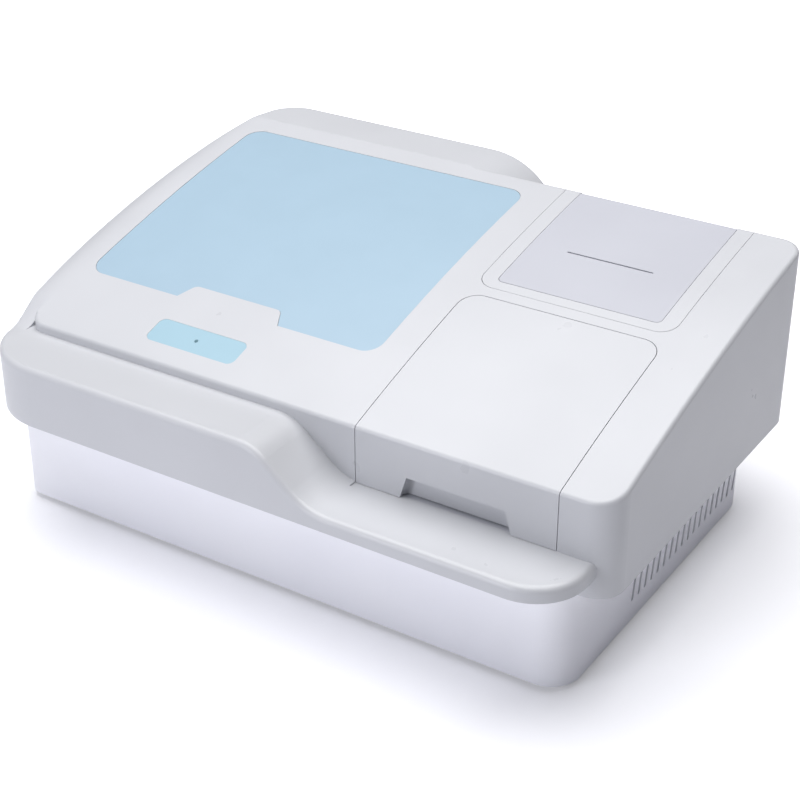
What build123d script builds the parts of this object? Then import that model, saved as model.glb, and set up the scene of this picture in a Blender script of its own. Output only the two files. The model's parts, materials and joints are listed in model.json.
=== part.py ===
"""Bench-top microplate reader: casing, plate bay, optics, drive, printer and electronics.

Millimetres, +Z up, the user's side faces -Y. The origin lies on the bench, under the middle of
the casing. The casing is a low ribbon that runs round the front, the left end and the back. A
crowned deck rises out of it, and the ribbon falls in a wave to a thin ledge in front of the lid.
"""
from math import atan2, cos, degrees, hypot, pi, radians, sin, sqrt, tan
import os

from build123d import *

# ---------------------------------------------------------------- casing: driving dimensions
body_width = 463.0
body_depth = 348.5
foot_height = 4.0
wall = 3.0                      # cover wall
gap = 0.3                       # clearance between neighbouring mouldings
seam = 0.5                      # visible gap round a lid or a door
column_height = 73.4            # base bottom to the cover's edge on the right
band_height = 87.9              # base bottom to the underside of the ribbon
ledge_thickness = 9.9
band_thickness = 43.1
deck_step = 5.9
deck_rise = 63.3
crown_sagitta = 6.1
ledge_depth = 43.9
rear_band_depth = 39.6
shoulder_width = 25.0
shoulder_radius = 48.0
ramp_length = 32.0
ramp_setback = 4.0              # the ramp begins this far in front of the deck's front wall
ramp_droop = 0.25               # keeps the end of the ramp just under the crown
barrel_radius = 700.0           # bulge of the left end in plan
barrel_middle = 165.0           # from the front
front_corner_radius = 54.0
rear_corner_radius = 28.0
ledge_end_inset = 10.5          # right end of the ledge, in from the right side
ledge_end_radius = 34.0
column_width = 46.5
column_front_radius = 18.0
column_rear_radius = 16.0
nose_radius = 14.0              # left end of the step between ribbon and deck
nose_turn = 65.0
edge_radius = 4.0
deck_edge_radius = 3.0
wave_x = 32.2                   # middle of the front wave
wave_angle = 40.7
wave_crest_radius = 31.0
wave_trough_radius = 40.0
rear_wave_x = 47.4
rear_wave_angle = 50.0
rear_wave_crest_radius = 60.0

# ---------------------------------------------------------------- base, plate bay and printer
base_left_inset = 10.0          # from the cover's left end to the base's left side
base_right_inset = 25.0
base_front_inset = 42.4
base_rear_inset = 38.5
base_corner_radius = 21.0        # both right corners
base_nose_radius = 8.0           # front left corner
base_tail_radius = 40.0          # rear left corner
base_wall = 2.5
foot_radius = 9.0
vent_count = 19
vent_pitch = 9.2
vent_width = 3.0
vent_height = 30.0
vent_lean = 9.0
vent_foot = 14.5                # bottom of the slots above the base's underside
vent_rear_inset = 12.6          # last slot, in from the base's rear face

bay_inset = 104.5               # middle of the plate bay, in from the right side
lid_width = 137.6
lid_depth = 130.0
lid_corner_radius = 13.0
lid_thickness = 3.0
finger_width = 77.0            # at the ledge; narrower above
finger_rise = 15.0
finger_flare = 5.0
finger_depth = 7.0
finger_round = 4.0
lid_pivot_back = 16.1           # hinge axis behind the lid's rear edge
lid_pivot_drop = 10.2           # hinge axis below the deck above it
lid_swing = 105.0
arm_thickness = 3.0
arm_inner_radius = 17.5
arm_outer_radius = 23.5
arm_inset = 7.8                 # outer face of an arm, in from the lid's side
hinge_pin_radius = 1.5

bezel_width = 138.1
bezel_setback = 183.3           # front edge of the printer surround, from the cover's front
bezel_corner_radius = 12.0
bezel_thickness = 3.0
door_width = 115.3
door_setback = 191.3
door_thickness = 2.5
door_corner_radius = 4.0
door_swing = 95.0
barrel_round = 4.0              # radius of the door's rear barrel
paper_slot_length = 61.4
paper_slot_width = 1.2
slot_setback = 236.6

# ---------------------------------------------------------------- front panel
panel_left_inset = 31.6
panel_width = 234.5
panel_setback = 100.0
panel_depth = 191.3
panel_corner_radius = 12.0
panel_film = 0.8
panel_recess = 1.0
notch_left = 78.4               # from the panel's left edge
notch_width = 81.0
notch_floor_width = 70.0
notch_depth = 13.0
notch_corner_radius = 5.0
label_left_inset = 114.0
label_width = 71.0
label_setback = 59.0
label_depth = 20.0
label_corner_radius = 5.0
label_film = 0.3
led_radius = 1.2

# ---------------------------------------------------------------- plate carrier and drive
plate_length = 127.76           # microplate footprint, as standardised
plate_width = 85.48
pocket_clearance = 0.4
carrier_length = 134.0
carrier_width = 106.0
carrier_z = 98.0
carrier_height = 9.0
carrier_floor = 3.0
carrier_travel = 158.0
rod_radius = 4.0
rod_inset = 8.0                 # rod, in from the long edge of the carrier
rod_z = 90.0
bush_radius = 6.0
running_fit = 0.05
chassis_z = 78.0
chassis_thickness = 2.0
pulley_radius = 8.0
belt_thickness = 1.2
belt_width = 6.0
belt_z = 94.0
drive_pulley_inset = 75.0       # from the cover's left end
idler_pulley_inset = 42.0       # from the cover's right side
filter_wheel_radius = 40.0
filter_wheel_thickness = 5.0
filter_circle = 32.0
filter_count = 8

# ---------------------------------------------------------------- casing: derived positions
left = -body_width / 2
right = body_width / 2
front = -body_depth / 2
rear = body_depth / 2
base_bottom = foot_height
column_bottom = base_bottom + column_height
band_bottom = base_bottom + band_height
ledge_top = band_bottom + ledge_thickness
band_top = band_bottom + band_thickness
deck_left = left + shoulder_width
deck_front = front + ledge_depth
deck_rear = rear - rear_band_depth
deck_front_z = band_top + deck_step
deck_rear_z = deck_front_z + deck_rise
column_left = right - column_width
ledge_end = right - ledge_end_inset
ramp_start = deck_front - ramp_setback
ramp_end = ramp_start + ramp_length
beyond = 6.0                    # how far a cutting profile runs past what it cuts
base_left = left + base_left_inset
base_right = right - base_right_inset
base_front = front + base_front_inset
base_rear = rear - base_rear_inset
bay_x = right - bay_inset
lid_left = bay_x - lid_width / 2
lid_right = bay_x + lid_width / 2
lid_rear = deck_front + lid_depth
lid_bottom = ledge_top + gap
bezel_left = bay_x - bezel_width / 2
bezel_right = bay_x + bezel_width / 2
bezel_front = front + bezel_setback
door_left = bay_x - door_width / 2
door_right = bay_x + door_width / 2
door_front = front + door_setback
slot_y = front + slot_setback
panel_left = left + panel_left_inset
panel_right = panel_left + panel_width
panel_front = front + panel_setback
panel_rear = panel_front + panel_depth
label_left = left + label_left_inset
label_front = front + label_setback
led_x = label_left + label_width / 2
led_y = label_front + label_depth / 2
chassis_top = chassis_z + chassis_thickness
plate_y = deck_front + 66.1     # middle of the plate
carrier_top = carrier_z + carrier_height
carrier_left = bay_x - carrier_length / 2
carrier_right = bay_x + carrier_length / 2
carrier_front = plate_y - carrier_width / 2
carrier_rear = plate_y + carrier_width / 2
rod_spacing = carrier_width - 2 * rod_inset
rod_left = carrier_left - carrier_travel - 14.0
rod_right = carrier_right + 9.0
belt_y = carrier_rear + 4.0     # front edge of the belt
drive_pulley_x = left + drive_pulley_inset
idler_pulley_x = right - idler_pulley_inset
chassis_left = base_left + 33.5
chassis_right = base_right - 3.0
chassis_front = base_front + 12.85
chassis_rear = base_rear - 9.75
base_middle = (base_left + base_right) / 2
reading_x = bay_x - carrier_length / 2 - 41.5

# The deck is part of a large cylinder whose axis runs along X.
deck_chord = hypot(deck_rear - deck_front, deck_rise)
deck_slope = atan2(deck_rise, deck_rear - deck_front)
crown_radius = deck_chord**2 / (8 * crown_sagitta) + crown_sagitta / 2
crown_y = (deck_front + deck_rear) / 2 + sin(deck_slope) * (crown_radius - crown_sagitta)
crown_axis_z = (deck_front_z + deck_rear_z) / 2 - cos(deck_slope) * (crown_radius - crown_sagitta)


def crown_z(y, below=0.0):
    """Height of the deck at y, or of the surface that lies `below` it."""
    return crown_axis_z + sqrt((crown_radius - below) ** 2 - (y - crown_y) ** 2)


def crown_arc(y_start, y_end, below=0.0):
    """Arc of the deck's profile, drawn in the YZ plane."""
    y_middle = (y_start + y_end) / 2
    ends = [(y, crown_z(y, below)) for y in (y_start, y_middle, y_end)]
    return ThreePointArc(*ends)


# ---------------------------------------------------------------- casing: the ribbon in plan
barrel_centre = (left + barrel_radius, front + barrel_middle)


def corner_centre(radius, y):
    """Centre of a corner arc that touches the barrel from inside."""
    reach = barrel_radius - radius
    return (barrel_centre[0] - sqrt(reach**2 - (y - barrel_centre[1]) ** 2), y)


front_corner = corner_centre(front_corner_radius, front + front_corner_radius)
rear_corner = corner_centre(rear_corner_radius, rear - rear_corner_radius)


def barrel_bearing(point):
    """Angle, in degrees, at which the barrel's centre sees a point to its left."""
    angle = degrees(atan2(point[1] - barrel_centre[1], point[0] - barrel_centre[0]))
    return angle % 360


def band_outline(inset, z):
    """Plan outline of the ribbon at height z, moved inwards by `inset`."""
    end_centre_x = ledge_end - ledge_end_radius
    end_front = (end_centre_x, front + ledge_end_radius)
    end_rear = (end_centre_x, rear - ledge_end_radius)
    end_arc = ledge_end_radius - inset
    bearing_front = barrel_bearing(front_corner)
    bearing_rear = barrel_bearing(rear_corner)
    side_sweep = bearing_rear - bearing_front
    with BuildSketch(Plane.XY.offset(z)) as outline:
        with BuildLine():
            Line((end_centre_x, front + inset), (front_corner[0], front + inset))
            CenterArc(front_corner, front_corner_radius - inset, 270, bearing_front - 270)
            CenterArc(barrel_centre, barrel_radius - inset, bearing_front, side_sweep)
            CenterArc(rear_corner, rear_corner_radius - inset, bearing_rear, 90 - bearing_rear)
            Line((rear_corner[0], rear - inset), (end_centre_x, rear - inset))
            CenterArc(end_rear, end_arc, 90, -90)
            Line((ledge_end - inset, end_rear[1]), (ledge_end - inset, end_front[1]))
            CenterArc(end_front, end_arc, 0, -90)
        make_face()
    return outline.sketch


def wave_profile(y, x_middle, angle, crest, trough, top, foot, floor):
    """XZ profile of the ribbon at y: level, then falling in a wave to the ledge."""
    half_run = (top - foot) / 2 / tan(radians(angle))
    with BuildSketch(Plane.XZ.offset(-y)) as profile:
        with BuildLine():
            FilletPolyline(
                (left - beyond, top),
                (x_middle - half_run, top),
                (x_middle + half_run, foot),
                (right, foot),
                radius=[crest, trough],
            )
            Polyline((right, foot), (right, floor), (left - beyond, floor), (left - beyond, top))
        make_face()
    return profile.sketch


def deck_plan(inset, z):
    """Plan of the deck at height z; its front left corner meets the shoulder at an angle."""
    x_left = deck_left + inset
    x_right = right - inset
    y_front = deck_front + inset
    y_rear = deck_rear - inset
    x_nose = x_left + nose_radius * sin(radians(nose_turn))
    y_nose = y_front + nose_radius * (1 - cos(radians(nose_turn)))
    front_arc = column_front_radius - inset
    rear_arc = column_rear_radius - inset
    with BuildSketch(Plane.XY.offset(z)) as plan:
        with BuildLine():
            CenterArc((x_nose, y_front + nose_radius), nose_radius, 270, -nose_turn)
            Line((x_nose, y_front), (x_right - front_arc, y_front))
            CenterArc((x_right - front_arc, y_front + front_arc), front_arc, 270, 90)
            Line((x_right, y_front + front_arc), (x_right, y_rear - rear_arc))
            CenterArc((x_right - rear_arc, y_rear - rear_arc), rear_arc, 0, 90)
            Polyline((x_right - rear_arc, y_rear), (x_left, y_rear), (x_left, y_nose))
        make_face()
    return plan.sketch


def shoulder_line(inset):
    """Start, control points and end of the ramp, and the height where it starts."""
    level = band_top - inset
    ramp_top = crown_z(ramp_end, inset)
    slope = atan2(crown_y - ramp_end, crown_radius)
    pull = ramp_length / 3
    lead_in = (ramp_start + pull, level)
    lead_out = (ramp_end - pull * cos(slope), ramp_top - pull * sin(slope) - ramp_droop)
    return (ramp_start, level), lead_in, lead_out, (ramp_end, ramp_top)


def shoulder_profile(inset, floor):
    """YZ profile of the left end: level, a ramp up to the deck, the crown, level again."""
    ramp = shoulder_line(inset)
    rear_level = crown_z(deck_rear, inset)
    with BuildSketch(Plane.YZ.offset(left - beyond)) as profile:
        with BuildLine():
            Bezier(*ramp)
            crown_arc(ramp_end, deck_rear, inset)
            Polyline(
                (deck_rear, rear_level),
                (rear + beyond, rear_level),
                (rear + beyond, floor),
                (front - beyond, floor),
                (front - beyond, band_top - inset),
                ramp[0],
            )
        make_face()
    return profile.sketch


def roll_profile(y, level):
    """XZ section of what is taken off the shoulder: it touches the deck at the shoulder line."""
    x_out = left - beyond
    x_mid = (deck_left + x_out) / 2
    with BuildSketch(Plane.XZ.offset(-y)) as profile:
        with BuildLine():
            ThreePointArc(
                (deck_left, level),
                (x_mid, level - roll_drop(x_mid)),
                (x_out, level - roll_drop(x_out)),
            )
            Polyline(
                (x_out, level - roll_drop(x_out)),
                (x_out, level + 2),
                (deck_left, level + 2),
                (deck_left, level),
            )
        make_face()
    return profile.sketch


def roll_drop(x):
    """How far the rolled shoulder lies below the level of the deck at x."""
    return shoulder_radius - sqrt(shoulder_radius**2 - (deck_left - x) ** 2)


def shoulder_roll(inset):
    """Cutter that rolls the left edge of the deck down, swept along the shoulder's profile."""
    ramp = shoulder_line(inset)
    lap = 2.0
    with BuildPart() as roll:
        with BuildLine(Plane.YZ) as path:
            Line((front - beyond, ramp[0][1]), ramp[0])
            Bezier(*ramp)
            crown_arc(ramp_end, deck_rear, inset)
        sweep(roll_profile(front - beyond, ramp[0][1]), path=path.wire())
        extrude(
            roll_profile(deck_rear - lap, crown_z(deck_rear, inset)),
            amount=-(rear_band_depth + beyond + lap),
        )
    return roll.part


def deck_block(inset, floor):
    """The deck as a block that stands on `floor`, under the crowned surface."""
    with BuildPart() as block:
        extrude(deck_plan(inset, floor), amount=deck_rear_z + beyond - floor)
        with BuildSketch(Plane.YZ.offset(deck_left)):
            with BuildLine():
                crown_arc(deck_front - beyond, deck_rear + beyond, inset)
                Polyline(
                    (deck_rear + beyond, crown_z(deck_rear + beyond, inset)),
                    (deck_rear + beyond, floor),
                    (deck_front - beyond, floor),
                    (deck_front - beyond, crown_z(deck_front - beyond, inset)),
                )
            make_face()
        extrude(amount=body_width, mode=Mode.INTERSECT)
        if inset == 0:
            crown = block.faces().filter_by(GeomType.CYLINDER).sort_by(SortBy.AREA)[-1]
            fillet([e for e in crown.edges() if (e @ 0.5).X > deck_left + 0.1], deck_edge_radius)
    return block.part


def rear_band_block(inset, floor):
    """The ribbon behind the deck; it laps a little way under the deck's own crown."""
    rear_shift = inset * tan(radians(rear_wave_angle / 2))
    level = crown_z(deck_rear, inset)
    y_start = deck_rear - 2 * deck_edge_radius
    with BuildPart() as band:
        extrude(
            wave_profile(
                y_start,
                rear_wave_x - rear_shift,
                rear_wave_angle,
                rear_wave_crest_radius - inset,
                wave_trough_radius + inset,
                level,
                ledge_top - inset,
                floor,
            ),
            amount=-(rear + beyond - y_start),
        )
        with BuildSketch(Plane.YZ.offset(deck_left + inset)):
            with BuildLine():
                crown_arc(y_start, deck_rear, inset)
                Polyline(
                    (deck_rear, level),
                    (rear + beyond, level),
                    (rear + beyond, floor),
                    (y_start, floor),
                    (y_start, crown_z(y_start, inset)),
                )
            make_face()
        extrude(amount=body_width, mode=Mode.INTERSECT)
    return band.part


def on_outline(point):
    """True where a point lies over the ribbon's plan outline."""
    flat = abs(point.Y - front) < 0.01 or abs(point.Y - rear) < 0.01
    barrel = hypot(point.X - barrel_centre[0], point.Y - barrel_centre[1])
    if flat or abs(barrel - barrel_radius) < 0.01 or abs(point.X - ledge_end) < 0.01:
        return True
    end_x = ledge_end - ledge_end_radius
    corners = (
        (front_corner, front_corner_radius),
        (rear_corner, rear_corner_radius),
        ((end_x, front + ledge_end_radius), ledge_end_radius),
        ((end_x, rear - ledge_end_radius), ledge_end_radius),
    )
    return any(abs(hypot(point.X - c[0], point.Y - c[1]) - radius) < 0.01 for c, radius in corners)


def ribbon_block(inset, floor):
    """The ribbon: shoulder, front wave and rear wave inside one plan outline."""
    front_shift = inset * tan(radians(wave_angle / 2))
    trough = wave_trough_radius + inset
    foot = ledge_top - inset
    with BuildPart() as ribbon:
        extrude(shoulder_profile(inset, floor), amount=shoulder_width + inset + beyond)
        extrude(
            wave_profile(
                front - beyond,
                wave_x - front_shift,
                wave_angle,
                wave_crest_radius - inset,
                trough,
                band_top - inset,
                foot,
                floor,
            ),
            amount=-(ledge_depth + 2 * beyond + nose_radius),
        )
        add(rear_band_block(inset, floor))
        extrude(band_outline(inset, floor), amount=body_depth, mode=Mode.INTERSECT)
        add(shoulder_roll(inset), mode=Mode.SUBTRACT)
        if inset == 0:
            rim = [e for e in ribbon.edges() if on_outline(e @ 0.5)]
            rim = [e for e in rim if (e @ 0.5).Z > ledge_top - 0.5 and abs((e % 0.5).Z) < 0.95]
            fillet(rim, edge_radius)
    return ribbon.part


def cover_form():
    """Outer form of the cover as a solid: deck, right-hand column and ribbon."""
    with BuildPart() as form:
        add(deck_block(0, column_bottom))
        with Locations((column_left, 0, column_bottom)):
            Box(
                body_width,
                body_depth,
                band_bottom - column_bottom,
                align=(Align.MAX, Align.CENTER, Align.MIN),
                mode=Mode.SUBTRACT,
            )
        add(ribbon_block(0, band_bottom))
    return form.part


# ---------------------------------------------------------------- helpers for pieces under the deck
def crown_slab(plan, top, bottom):
    """The part of a plan that lies between two depths below the deck's surface."""
    y_start, y_end = deck_front - beyond, deck_rear + beyond
    with BuildPart() as slab:
        extrude(plan, amount=deck_rear_z + beyond - band_bottom)
        with BuildSketch(Plane.YZ.offset(left)):
            with BuildLine():
                crown_arc(y_start, y_end, top)
                Line((y_end, crown_z(y_end, top)), (y_end, crown_z(y_end, bottom)))
                crown_arc(y_end, y_start, bottom)
                Line((y_start, crown_z(y_start, bottom)), (y_start, crown_z(y_start, top)))
            make_face()
        extrude(amount=body_width, mode=Mode.INTERSECT)
    return slab.part


def plan_rectangle(x_start, x_end, y_start, y_end, front_radius=0.0, rear_radius=0.0, z=band_bottom):
    """Rectangle in plan with its front and rear corners rounded separately."""
    middle = ((x_start + x_end) / 2, (y_start + y_end) / 2)
    with BuildSketch(Plane.XY.offset(z)) as plan:
        with Locations(middle):
            Rectangle(x_end - x_start, y_end - y_start)
        if front_radius:
            fillet(plan.vertices().group_by(Axis.Y)[0], front_radius)
        if rear_radius:
            fillet(plan.vertices().group_by(Axis.Y)[-1], rear_radius)
    return plan.sketch


def block(x_start, x_end, y_start, y_end, z_start, z_end, mode=Mode.ADD):
    """Box between two corners, added to the part being built."""
    middle = ((x_start + x_end) / 2, (y_start + y_end) / 2, (z_start + z_end) / 2)
    solid = Pos(*middle) * Box(x_end - x_start, y_end - y_start, z_end - z_start, mode=Mode.PRIVATE)
    add(solid, mode=mode)


def rod(x, y, z, radius, length, axis="X", mode=Mode.ADD):
    """Cylinder whose axis starts at a point and runs along +X, +Y or +Z."""
    turns = {"X": (0, 90, 0), "Y": (-90, 0, 0), "Z": (0, 0, 0)}
    shaft = Cylinder(
        radius,
        length,
        align=(Align.CENTER, Align.CENTER, Align.MIN),
        mode=Mode.PRIVATE,
    )
    add(Location((x, y, z), turns[axis]) * shaft, mode=mode)


def save(piece, name):
    """Label a finished piece and write it out."""
    piece.label = name
    export_step(piece, f"parts/{name}.step")


os.makedirs("parts", exist_ok=True)


# ---------------------------------------------------------------- top cover
def panel_plan(clearance):
    """Plan of the blue panel, with the notch in its front edge."""
    x_notch = panel_left + notch_left
    half_step = (notch_width - notch_floor_width) / 2
    with BuildSketch(Plane.XY.offset(band_bottom)) as plan:
        add(
            plan_rectangle(
                panel_left - clearance,
                panel_right + clearance,
                panel_front - clearance,
                panel_rear + clearance,
                panel_corner_radius,
                panel_corner_radius,
            )
        )
        y_low = panel_front - clearance - 1
        y_high = panel_front + notch_depth - clearance
        with BuildLine():
            FilletPolyline(
                (x_notch + clearance - 6, y_low),
                (x_notch + clearance - 1, y_low + 1),
                (x_notch + half_step + clearance, y_high),
                (x_notch + notch_width - half_step - clearance, y_high),
                (x_notch + notch_width - clearance + 1, y_low + 1),
                (x_notch + notch_width - clearance + 6, y_low),
                radius=[0.5, notch_corner_radius, notch_corner_radius, 0.5],
            )
            Line((x_notch + clearance - 6, y_low), (x_notch + notch_width - clearance + 6, y_low))
        make_face(mode=Mode.SUBTRACT)
    return plan.sketch


def label_plan(clearance):
    """Plan of the small status label in front of the panel."""
    return plan_rectangle(
        label_left - clearance,
        label_left + label_width + clearance,
        label_front - clearance,
        label_front + label_depth + clearance,
        label_corner_radius,
        label_corner_radius,
    )


bezel_foot = 150.0
lid_opening = plan_rectangle(
    lid_left - seam,
    lid_right + seam,
    deck_front - beyond,
    lid_rear + seam,
    0,
    lid_corner_radius + seam,
    ledge_top,
)
bezel_opening = plan_rectangle(
    bezel_left - gap,
    bezel_right + gap,
    bezel_front - gap,
    deck_rear + 1,
    bezel_corner_radius,
    0,
    bezel_foot,
)
lcd_left = panel_left + 41.9
lcd_right = lcd_left + 128.0
lcd_front = panel_front + 50.25
lcd_rear = lcd_front + 108.0

with BuildPart() as top_cover:
    add(cover_form())
    with BuildPart(mode=Mode.PRIVATE) as hollow:
        add(deck_block(wall, column_bottom - beyond))
        add(ribbon_block(wall, band_bottom - beyond))
    add(hollow.part, mode=Mode.SUBTRACT)
    extrude(lid_opening, amount=body_depth, mode=Mode.SUBTRACT)
    extrude(bezel_opening, amount=body_depth, mode=Mode.SUBTRACT)
    add(crown_slab(panel_plan(0.2), -1, panel_recess), mode=Mode.SUBTRACT)
    add(crown_slab(label_plan(0.1), -1, label_film + 0.1), mode=Mode.SUBTRACT)
    window = plan_rectangle(lcd_left + 3, lcd_right - 3, lcd_front + 3, lcd_rear - 3)
    add(crown_slab(window, 0, wall + 1), mode=Mode.SUBTRACT)
    rod(led_x, led_y, band_bottom, led_radius + 0.1, body_depth, "Z", Mode.SUBTRACT)
save(top_cover.part, "top_cover")


# ---------------------------------------------------------------- base tray and floor plates
def base_plan(inset, z):
    """Plan of the base tray, moved inwards by `inset`."""
    centre = ((base_left + base_right) / 2, (base_front + base_rear) / 2)
    width = base_right - base_left - 2 * inset
    with BuildSketch(Plane.XY.offset(z)) as plan:
        with Locations(centre):
            Rectangle(width, base_rear - base_front - 2 * inset)
        fillet(plan.vertices().group_by(Axis.X)[-1], base_corner_radius - inset)
        for end_y, radius in ((base_front + inset, base_nose_radius), (base_rear - inset, base_tail_radius)):
            corner = plan.vertices().sort_by_distance((base_left + inset, end_y, z))[0]
            fillet(corner, radius - inset)
    return plan.sketch


fan_x = base_right - 116.5
fan_z = 38.0
fan_size = 60.0
rear_opening = (fan_x - 210.0, fan_x - 50.0, 16.0, 58.0)
floor_z = base_bottom + base_wall
foot_rows = (base_front + 25.85, base_rear - 25.75)
foot_places = [(x, y) for x in (base_left + 31.5, base_right - 26.5) for y in foot_rows]
post_rows = (base_front + 23.85, base_rear - 21.75)
post_columns = (base_left + 71.5, base_middle + 7.5, base_right - 36.5)
post_places = [(x, y) for x in post_columns for y in post_rows]

with BuildPart() as base_tray:
    extrude(base_plan(0, base_bottom), amount=band_height)
    extrude(base_plan(base_wall, floor_z), amount=band_height, mode=Mode.SUBTRACT)
    block(column_left - gap, right, front, rear, column_bottom, band_bottom + 1, Mode.SUBTRACT)
    for place in range(vent_count):
        y_foot = base_rear - vent_rear_inset - place * vent_pitch
        y_vent = y_foot + vent_height / 2 * sin(radians(vent_lean))
        with BuildSketch(Plane.YZ.offset(base_right - 10)):
            with Locations((y_vent, base_bottom + vent_foot + vent_height / 2)):
                SlotOverall(vent_height, vent_width, rotation=90 - vent_lean)
    extrude(amount=20, mode=Mode.SUBTRACT)
    block(
        rear_opening[0],
        rear_opening[1],
        base_rear - 10,
        base_rear + 1,
        rear_opening[2],
        rear_opening[3],
        Mode.SUBTRACT,
    )
    rod(fan_x, base_rear - 8, fan_z, 27.0, 10, "Y", Mode.SUBTRACT)
    for post_x, post_y in post_places:
        rod(post_x, post_y, floor_z, 5, chassis_z - floor_z, "Z")
save(base_tray.part, "base_tray")

with BuildPart() as band_underside:
    extrude(band_outline(wall + gap, band_bottom), amount=2.5)
    extrude(base_plan(base_wall, band_bottom - 1), amount=6, mode=Mode.SUBTRACT)
    block(
        column_left - gap,
        right,
        deck_front - gap,
        deck_rear + gap,
        band_bottom - 1,
        band_bottom + 5,
        Mode.SUBTRACT,
    )
save(band_underside.part, "band_underside")

with BuildPart() as column_underside:
    extrude(deck_plan(wall + gap, column_bottom), amount=2.5)
    block(left, column_left + gap, front, rear, column_bottom - 1, column_bottom + 5, Mode.SUBTRACT)
    extrude(base_plan(base_wall, column_bottom - 1), amount=6, mode=Mode.SUBTRACT)
save(column_underside.part, "column_underside")

with BuildPart() as rubber_feet:
    for foot_x, foot_y in foot_places:
        rod(foot_x, foot_y, 0, foot_radius, foot_height, "Z")
save(rubber_feet.part, "rubber_feet")

with BuildPart() as chassis_plate:
    block(chassis_left, chassis_right, chassis_front, chassis_rear, chassis_z, chassis_top)
    fillet(chassis_plate.edges().filter_by(Axis.Z), 10)
    for hole_x, hole_inset in ((68.0, 31.0), (128.0, 31.0), (248.0, 31.0), (338.0, 66.0)):
        rod(chassis_left + hole_x, chassis_rear - hole_inset, chassis_z - 1, 9, 5, "Z", Mode.SUBTRACT)
save(chassis_plate.part, "chassis_plate")

# ---------------------------------------------------------------- plate bay liner
pivot_y = lid_rear + lid_pivot_back
pivot_z = crown_z(pivot_y) - lid_pivot_drop + 1.6
liner_wall = 2.0
liner_right = lid_right + 1.7
liner_rear = lid_rear + 1.6
liner_foot = 104.0
sill_foot = ledge_top - 3.3
sill_rear = carrier_front - 1.1
arm_places = (lid_left + arm_inset, lid_right - arm_inset - arm_thickness)
ear_places = (lid_left + 1.4, lid_right - 1.4 - 3.0)

with BuildPart() as bay_liner:
    block(liner_right, liner_right + liner_wall, deck_front, liner_rear + 2, liner_foot, 200)
    block(lid_left - 4.7, liner_right + 2, liner_rear, liner_rear + liner_wall, liner_foot, 200)
    block(lid_left - 4.7, lid_left - 2.7, deck_front, liner_rear + 2, 126, 200)
    block(lid_left - 4.7, lid_left - 2.7, deck_front, sill_rear, sill_foot, 200)
    block(lid_left - 4.7, liner_right + 2, deck_front, sill_rear, sill_foot, ledge_top - 0.3)
    block(liner_right, liner_right + 2, deck_front, sill_rear, sill_foot, liner_foot + 1)
    add(deck_block(wall + 0.05, sill_foot - 1), mode=Mode.INTERSECT)
    for arm_x in arm_places:
        block(arm_x - 1, arm_x + 4, liner_rear - 1, liner_rear + 3, 145, 200, Mode.SUBTRACT)
    for ear_x in ear_places:
        block(ear_x, ear_x + 3, liner_rear + 1, pivot_y - 2, pivot_z - 7, pivot_z - 1)
        rod(ear_x, pivot_y, pivot_z, 4.0, 3, "X")
        block(ear_x, ear_x + 3, pivot_y - 4, pivot_y, pivot_z - 7, pivot_z)
        rod(ear_x - 1, pivot_y, pivot_z, hinge_pin_radius, 6, "X", Mode.SUBTRACT)
save(bay_liner.part, "bay_liner")

with BuildPart() as lid_hinge_pin:
    rod(lid_left - 0.5, pivot_y, pivot_z, hinge_pin_radius, lid_width + 1, "X")
save(lid_hinge_pin.part, "lid_hinge_pin")

# ---------------------------------------------------------------- plate lid
lid_plan = plan_rectangle(
    lid_left, lid_right, deck_front - 1, lid_rear, 0, lid_corner_radius, lid_bottom
)
lid_inner = plan_rectangle(
    lid_left + lid_thickness,
    lid_right - lid_thickness,
    deck_front + lid_thickness,
    lid_rear + 5,
    0,
    0,
    lid_bottom - 1,
)
finger_left = bay_x + 1.0 - finger_width / 2
finger_right = finger_left + finger_width

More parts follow.
